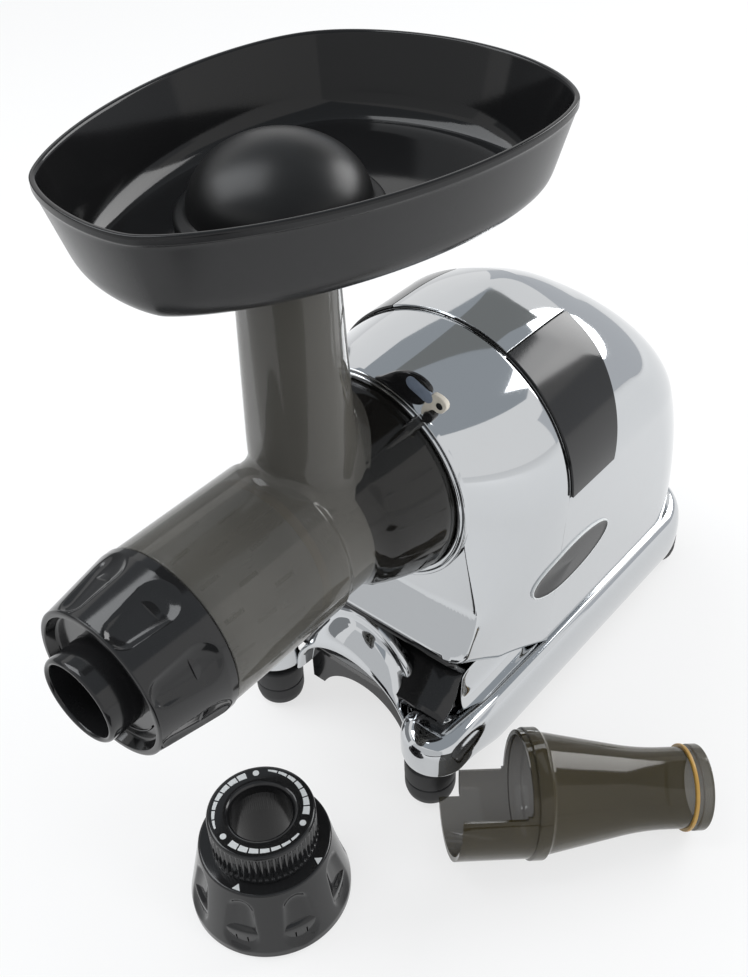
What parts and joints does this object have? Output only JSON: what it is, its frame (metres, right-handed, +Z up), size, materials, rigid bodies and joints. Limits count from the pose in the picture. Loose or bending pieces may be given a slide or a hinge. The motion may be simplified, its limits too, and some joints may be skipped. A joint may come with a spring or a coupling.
{
  "type": "cold press juicer",
  "caption": "Horizontal masticating juicer: geared motor housing, clear drum with chute, auger and screen, tray, tamper, lock ring, outlet cap and loose attachments.",
  "frame": {"origin": "on the table, midway between the four feet", "axes": "+Z up, -Y to the front where the pulp leaves, +X to the side with the badge"},
  "size_m": [0.2878, 0.445, 0.4022],
  "materials": {
    "chrome": "polished",
    "gloss_black": "gloss",
    "satin_black": "satin",
    "smoke": "clear, smoked",
    "amber_rubber": "smooth",
    "rubber": "matte",
    "steel": "brushed",
    "gear_metal": "machined",
    "cast_alloy": "cast",
    "lamination": "painted",
    "copper": "varnished",
    "ivory_plastic": "satin",
    "auger_plastic": "satin",
    "pale_metal": "satin"
  },
  "bodies": {
    "machine": {"base_frame": "chrome", "arch_liner": "gloss_black", "recess_panel": "gloss_black", "bottom_plate": "satin_black", "foot_front_left": "rubber", "foot_front_right": "rubber", "foot_rear_left": "rubber", "foot_rear_right": "rubber", "front_shell": "chrome", "rear_shell": "chrome", "handle_band": "chrome", "side_insert_left": "gloss_black", "side_insert_right": "gloss_black", "badge_plate": "gloss_black", "socket_ring": "chrome", "socket_screws": "steel", "gearbox_case": "cast_alloy", "gearbox_cover": "cast_alloy", "gearbox_screws": "steel", "output_bearings": "steel", "counter_bearings": "steel", "motor_bearings": "steel", "motor_stator": "lamination", "motor_windings": "copper", "motor_end_bells": "cast_alloy", "motor_cradle": "lamination", "run_capacitor": "pale_metal", "switch_bezel": "satin_black", "power_inlet": "satin_black", "base_screws": "steel"},
    "lock": {"lock_ring": "gloss_black"},
    "rocker": {"switch_rocker": "gloss_black"},
    "rotor": {"rotor_shaft": "steel", "rotor_core": "lamination", "cooling_fan": "ivory_plastic", "motor_pinion": "gear_metal"},
    "countershaft": {"counter_shaft": "steel", "counter_wheel": "gear_metal", "counter_pinion": "gear_metal"},
    "output": {"output_gear": "gear_metal", "output_spindle": "steel"},
    "drum": {"drum": "smoke", "drum_seal": "rubber", "juicing_screen": "steel", "screen_ring": "amber_rubber", "cap_seal": "amber_rubber"},
    "auger": {"auger": "auger_plastic", "auger_shaft": "steel"},
    "end_cap": {"end_cap": "gloss_black", "outlet_nozzle": "gloss_black"},
    "tray": {"tray": "satin_black"},
    "tamper": {"tamper": "satin_black"},
    "adjuster": {"adjuster_cap": "gloss_black"},
    "dial": {"adjuster_dial": "gloss_black", "adjuster_nozzle": "satin_black"},
    "blank": {"blank_cone": "smoke", "blank_cone_seal": "amber_rubber"}
  },
  "joints": [
    {"name": "lock_turn", "type": "hinge", "parent": "machine", "child": "lock", "pos_m": [0, -0.102, 0.194], "axis": [0, -1, 0], "range_deg": [0, 45]},
    {"name": "rocker_tilt", "type": "hinge", "parent": "machine", "child": "rocker", "pos_m": [-0.07522, 0.07, 0.098], "axis": [0, 0, 1], "range_deg": [-7, 7]},
    {"name": "rotor_spin", "type": "hinge", "parent": "machine", "child": "rotor", "pos_m": [0, 0, 0.109], "axis": [0, 1, 0], "continuous": true},
    {"name": "countershaft_spin", "type": "hinge", "parent": "machine", "child": "countershaft", "pos_m": [0, -0.077, 0.1515], "axis": [0, 1, 0], "continuous": true},
    {"name": "output_spin", "type": "hinge", "parent": "machine", "child": "output", "pos_m": [0, -0.09, 0.194], "axis": [0, 1, 0], "continuous": true},
    {"name": "drum_pull", "type": "slide", "parent": "machine", "child": "drum", "axis": [0, -1, 0], "range_m": [0, 0.09]},
    {"name": "auger_spin", "type": "hinge", "parent": "drum", "child": "auger", "pos_m": [0, -0.19, 0.194], "axis": [0, 1, 0], "continuous": true},
    {"name": "cap_twist", "type": "hinge", "parent": "drum", "child": "end_cap", "pos_m": [0, -0.26, 0.194], "axis": [0, -1, 0], "range_deg": [0, 30]},
    {"name": "tray_lift", "type": "slide", "parent": "drum", "child": "tray", "axis": [0, 0, 1], "range_m": [0, 0.08]},
    {"name": "tamper_lift", "type": "slide", "parent": "tray", "child": "tamper", "axis": [0, 0, 1], "range_m": [0, 0.13]},
    {"name": "adjuster_lift", "type": "slide", "parent": "machine", "child": "adjuster", "axis": [0, 0, 1], "range_m": [0, 0.06]},
    {"name": "dial_turn", "type": "hinge", "parent": "adjuster", "child": "dial", "pos_m": [0.0306, -0.2325, 0.055], "axis": [0, 0, 1], "range_deg": [0, 100]},
    {"name": "blank_lift", "type": "slide", "parent": "machine", "child": "blank", "axis": [0.5494, -0.4994, 0.6699], "range_m": [0, 0.15]}
  ],
  "couplings": [
    {"joint": "countershaft_spin", "follows": "rotor_spin", "ratio": -0.21429},
    {"joint": "output_spin", "follows": "rotor_spin", "ratio": 0.045918},
    {"joint": "auger_spin", "follows": "rotor_spin", "ratio": 0.045918}
  ]
}
